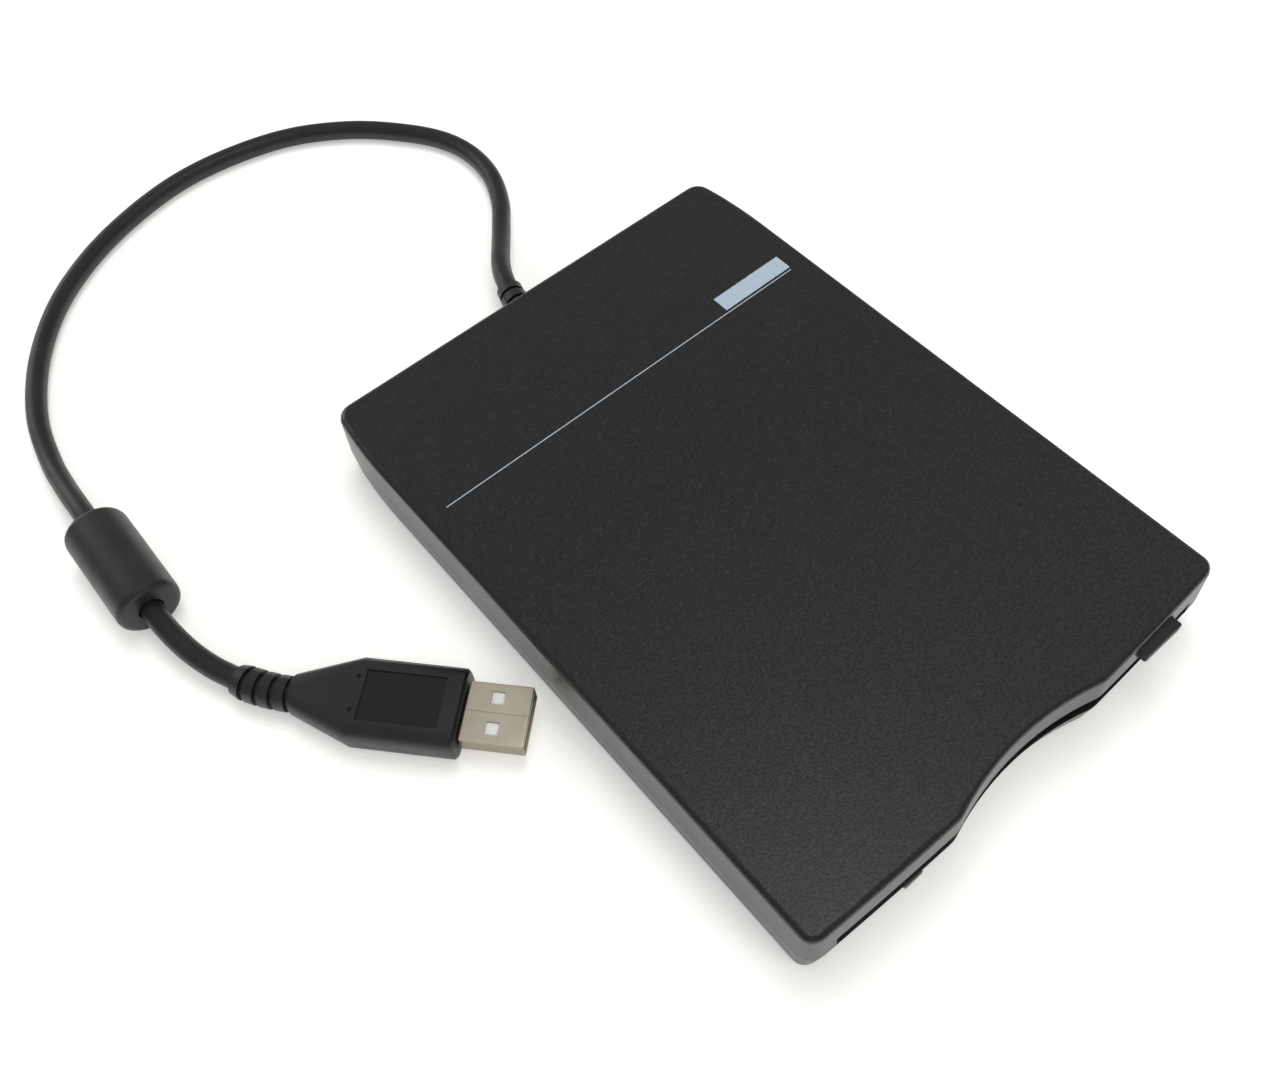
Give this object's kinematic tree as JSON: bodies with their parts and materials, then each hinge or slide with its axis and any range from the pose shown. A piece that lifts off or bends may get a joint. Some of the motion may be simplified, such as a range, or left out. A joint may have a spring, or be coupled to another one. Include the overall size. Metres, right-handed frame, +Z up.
{
  "type": "external floppy disk drive",
  "caption": "Slim portable drive for 90 mm disks with a sprung slot door, eject button, loading carrier and a captive cord ending in a type A plug.",
  "frame": {"origin": "centre of the drive's footprint on the table, without the strain relief, cord and plug", "axes": "+Z up, +Y towards the cord's end of the case, the disk slot faces -Y"},
  "size_m": [0.1598, 0.2492, 0.0179],
  "materials": {
    "board_laminate": "lacquered",
    "button_plastic": "satin",
    "carriage_resin": "moulded",
    "case_plastic": "fine spark-eroded texture",
    "chip_resin": "moulded",
    "copper_coil": "enamelled copper wire",
    "cord_sheath": "satin",
    "foot_rubber": "matt",
    "gilt_contact": "gold plated",
    "head_ceramic": "lapped",
    "lamp_resin": "clear moulded",
    "nickel_sheet": "nickel plated",
    "turned_steel": "turned",
    "white_nylon": "moulded",
    "zinc_sheet": "zinc plated"
  },
  "bodies": {
    "case": {"access_lamp": "lamp_resin", "board_capacitor": "nickel_sheet", "bottom_cover": "case_plastic", "bridge_chip": "chip_resin", "case_screw_1": "turned_steel", "case_screw_2": "turned_steel", "case_screw_3": "turned_steel", "case_screw_4": "turned_steel", "chassis": "zinc_sheet", "chassis_screw_1": "turned_steel", "chassis_screw_2": "turned_steel", "chassis_screw_3": "turned_steel", "chassis_screw_4": "turned_steel", "cord": "cord_sheath", "cord_connector": "white_nylon", "cord_inner": "cord_sheath", "crystal_can": "nickel_sheet", "density_switch": "chip_resin", "drive_chip": "chip_resin", "ferrite_sleeve": "cord_sheath", "flat_cable": "white_nylon", "foot_1": "foot_rubber", "foot_2": "foot_rubber", "foot_3": "foot_rubber", "foot_4": "foot_rubber", "guide_rod": "turned_steel", "lamp_board": "board_laminate", "lamp_lens": "lamp_resin", "main_board": "board_laminate", "plug_contact_1": "gilt_contact", "plug_contact_2": "gilt_contact", "plug_contact_3": "gilt_contact", "plug_contact_4": "gilt_contact", "plug_overmould": "cord_sheath", "plug_shell": "nickel_sheet", "plug_tongue": "white_nylon", "spindle_bearing": "turned_steel", "spindle_stator": "copper_coil", "stepper_bracket": "zinc_sheet", "stepper_motor": "zinc_sheet", "strain_relief": "cord_sheath", "top_cover": "case_plastic", "usb_board": "board_laminate", "write_protect_switch": "chip_resin"},
    "ejector": {"eject_button": "button_plastic", "slide_plate": "zinc_sheet"},
    "carrier": {"disk_carrier": "zinc_sheet"},
    "lever": {"shutter_lever": "zinc_sheet"},
    "door": {"slot_door": "case_plastic"},
    "spindle": {"spindle_rotor": "turned_steel", "drive_pin": "turned_steel"},
    "carriage": {"head_carriage": "carriage_resin", "lower_head": "head_ceramic"},
    "upper_arm": {"upper_head_arm": "zinc_sheet", "upper_head": "head_ceramic"},
    "screw_shaft": {"lead_screw": "turned_steel"}
  },
  "joints": [
    {"name": "eject_slide", "type": "slide", "parent": "case", "child": "ejector", "axis": [0, -1, 0], "range_m": [0, 0.0045]},
    {"name": "carrier_drop", "type": "slide", "parent": "case", "child": "carrier", "axis": [0, 0, -1], "range_m": [0, 0.002]},
    {"name": "arm_lower", "type": "hinge", "parent": "carriage", "child": "upper_arm", "pos_m": [0, 0.05482, 0.01165], "axis": [1, 0, 0], "range_deg": [0, 8.1]},
    {"name": "lever_swing", "type": "hinge", "parent": "carrier", "child": "lever", "pos_m": [-0.0415, 0.03695, 0.01235], "axis": [0, 0, 1], "range_deg": [0, 50], "stiffness_Nm_per_rad": 0.0003, "springref_deg": -17.19},
    {"name": "door_swing", "type": "hinge", "parent": "case", "child": "door", "pos_m": [0, -0.06488, 0.01175], "axis": [1, 0, 0], "range_deg": [0, 85], "stiffness_Nm_per_rad": 0.00001, "springref_deg": -28.65},
    {"name": "spindle_spin", "type": "hinge", "parent": "case", "child": "spindle", "pos_m": [0, -0.01657, 0.00535], "axis": [0, 0, 1], "continuous": true},
    {"name": "carriage_travel", "type": "slide", "parent": "case", "child": "carriage", "axis": [0, -1, 0], "range_m": [0, 0.015]},
    {"name": "screw_turn", "type": "hinge", "parent": "case", "child": "screw_shaft", "pos_m": [0.013, 0.03053, 0.0094], "axis": [0, 1, 0], "range_deg": [0, 1800.5]}
  ],
  "couplings": [
    {"joint": "carrier_drop", "follows": "eject_slide", "ratio": 0.4444},
    {"joint": "arm_lower", "follows": "eject_slide", "rad_per_m": 31.4},
    {"joint": "screw_turn", "follows": "carriage_travel", "rad_per_m": 2094.4}
  ]
}
